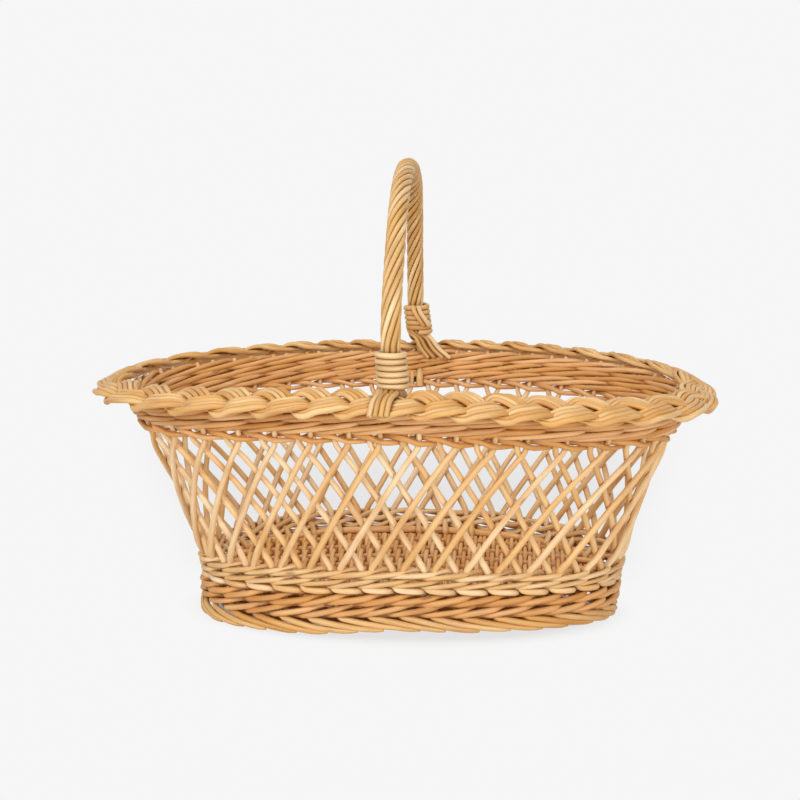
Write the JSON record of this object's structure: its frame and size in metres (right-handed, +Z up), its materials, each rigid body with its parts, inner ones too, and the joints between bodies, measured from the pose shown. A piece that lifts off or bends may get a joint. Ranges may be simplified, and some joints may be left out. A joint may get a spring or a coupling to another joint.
{
  "type": "oval willow basket",
  "caption": "Oval open-work basket of peeled willow with crossed lattice sides, woven bands, a plaited rim, a raised foot and a fixed rope-wrapped handle over its middle.",
  "frame": {"origin": "centre of the bounding box's bottom face, on the ground under the middle of the basket", "axes": "+X along the basket's length, +Y to its back, +Z up; the handle stands over X = 0 and runs along Y"},
  "size_m": [0.477, 0.3522, 0.357],
  "materials": {
    "stake_willow": "peeled willow, satin",
    "wale_willow": "peeled willow, satin, pinkish brown",
    "pale_willow": "peeled willow, satin, pale",
    "floor_willow": "peeled willow, dull",
    "handle_willow": "peeled willow, worn smooth"
  },
  "bodies": {
    "root": {"stake_01": "stake_willow", "stake_02": "stake_willow", "stake_03": "stake_willow", "stake_04": "stake_willow", "stake_05": "stake_willow", "stake_06": "stake_willow", "stake_07": "stake_willow", "stake_08": "stake_willow", "stake_09": "stake_willow", "stake_10": "stake_willow", "stake_11": "stake_willow", "stake_12": "stake_willow", "stake_13": "stake_willow", "stake_14": "stake_willow", "stake_15": "stake_willow", "stake_16": "stake_willow", "stake_17": "stake_willow", "stake_18": "stake_willow", "stake_19": "stake_willow", "stake_20": "stake_willow", "stake_21": "stake_willow", "stake_22": "stake_willow", "stake_23": "stake_willow", "stake_24": "stake_willow", "stake_25": "stake_willow", "stake_26": "stake_willow", "stake_27": "stake_willow", "stake_28": "stake_willow", "stake_29": "stake_willow", "stake_30": "stake_willow", "stake_31": "stake_willow", "stake_32": "stake_willow", "stake_33": "stake_willow", "stake_34": "stake_willow", "stake_35": "stake_willow", "stake_36": "stake_willow", "foot_wale_1": "wale_willow", "foot_wale_2": "wale_willow", "upset_wale_1": "pale_willow", "upset_wale_2": "pale_willow", "fitching_row": "wale_willow", "upper_wale_1": "wale_willow", "upper_wale_2": "wale_willow", "upper_wale_3": "wale_willow", "foot_border": "pale_willow", "floor_frame": "stake_willow", "floor_weaving": "floor_willow", "border_strand_1": "pale_willow", "border_strand_2": "pale_willow", "border_strand_3": "pale_willow", "handle_core": "handle_willow", "handle_strand_1": "handle_willow", "handle_strand_2": "handle_willow", "handle_strand_3": "handle_willow", "handle_strand_4": "handle_willow", "handle_binding_front": "pale_willow", "handle_binding_back": "pale_willow"}
  },
  "joints": []
}
